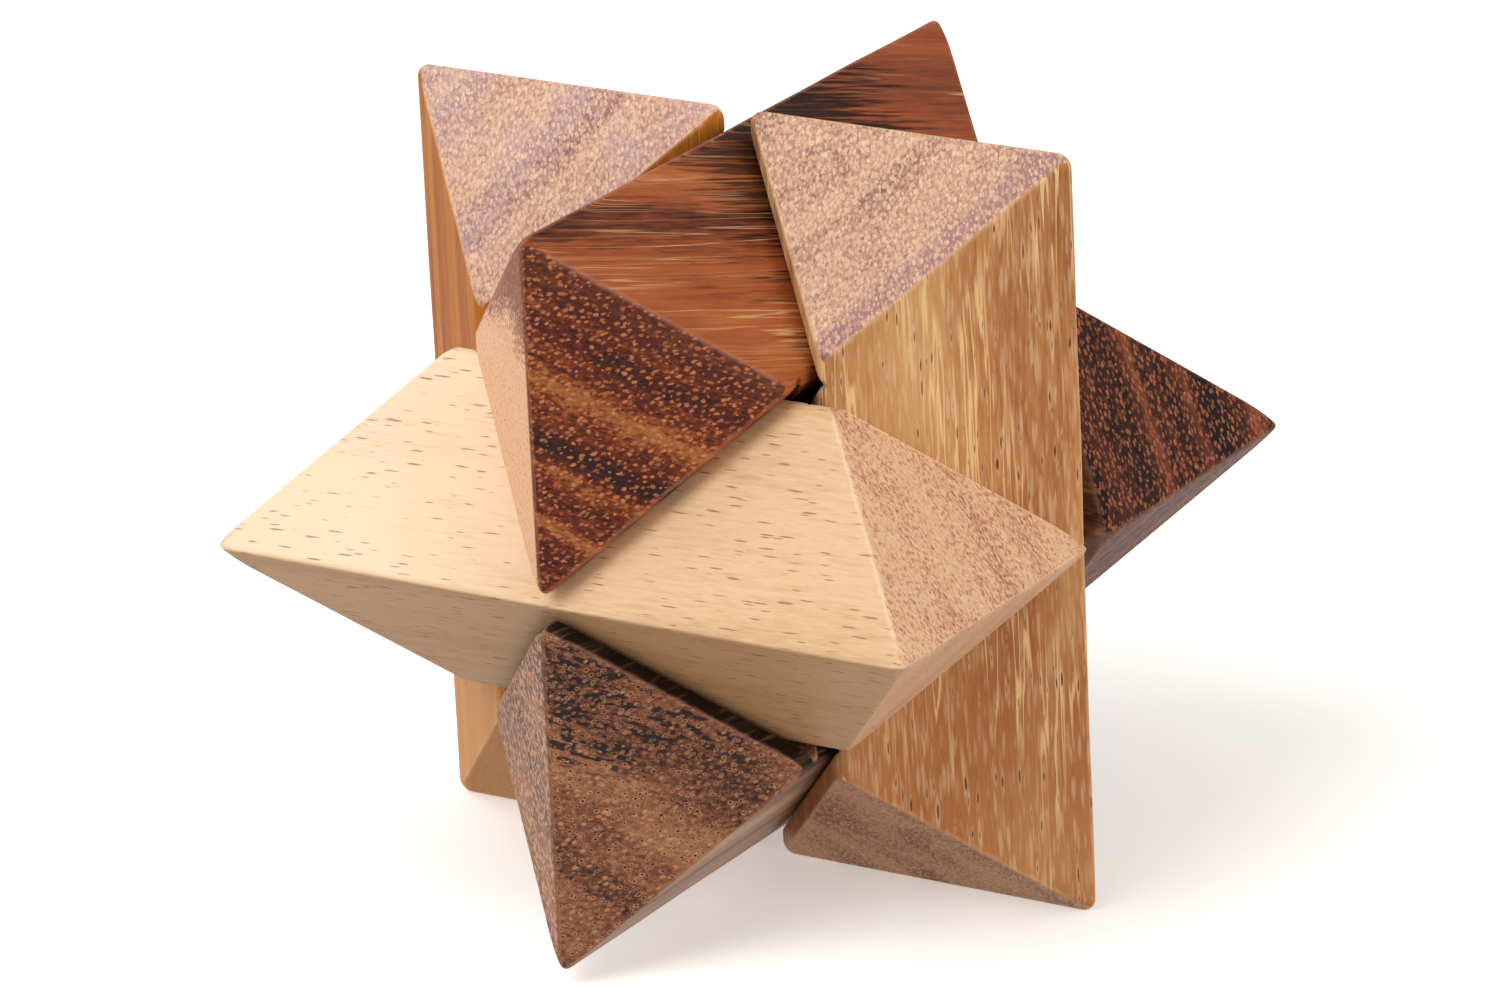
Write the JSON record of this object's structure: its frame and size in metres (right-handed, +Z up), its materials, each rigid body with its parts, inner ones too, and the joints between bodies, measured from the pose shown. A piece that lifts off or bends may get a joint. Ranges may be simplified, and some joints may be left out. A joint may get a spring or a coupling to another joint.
{
  "type": "wooden burr puzzle",
  "caption": "Star-shaped wooden burr puzzle of identical notched square sticks that cross in pairs and slide apart along a body diagonal.",
  "frame": {"origin": "on the ground under the puzzle's centre, at the height of the two lowest stick-end ridges", "axes": "+Z up along the left and right sticks; X along the front and rear sticks, with the right stick at +X; Y along the top and bottom sticks, with the front stick at -Y"},
  "size_m": [0.0816, 0.0816, 0.0817],
  "materials": {
    "golden_wood": "satin wax",
    "amber_wood": "satin wax",
    "sapwood": "satin wax",
    "dark_wood": "satin wax",
    "red_brown_wood": "satin wax",
    "brown_wood": "satin wax"
  },
  "bodies": {
    "bottom_stick": {"stick_bottom": "brown_wood"},
    "left_stick": {"stick_left": "golden_wood"},
    "front_stick": {"stick_front": "sapwood"},
    "rear_stick": {"stick_rear": "dark_wood"},
    "right_stick": {"stick_right": "amber_wood"},
    "top_stick": {"stick_top": "red_brown_wood"}
  },
  "joints": [
    {"name": "left_half_slide", "type": "slide", "parent": "bottom_stick", "child": "left_stick", "axis": [-0.5774, 0.5774, 0.5774], "range_m": [0, 0.03]},
    {"name": "front_half_slide", "type": "slide", "parent": "bottom_stick", "child": "front_stick", "axis": [0.5774, -0.5774, 0.5774], "range_m": [0, 0.03]},
    {"name": "rear_half_slide", "type": "slide", "parent": "left_stick", "child": "rear_stick", "axis": [0.5774, 0.5774, 0.5774], "range_m": [0, 0.03]},
    {"name": "right_follows_rear", "type": "slide", "parent": "front_stick", "child": "right_stick", "axis": [0.5774, 0.5774, 0.5774], "range_m": [0, 0.03]},
    {"name": "top_follows_front", "type": "slide", "parent": "rear_stick", "child": "top_stick", "axis": [0.5774, -0.5774, 0.5774], "range_m": [0, 0.03]}
  ],
  "couplings": [
    {"joint": "right_follows_rear", "follows": "rear_half_slide", "ratio": 1},
    {"joint": "top_follows_front", "follows": "front_half_slide", "ratio": 1}
  ]
}
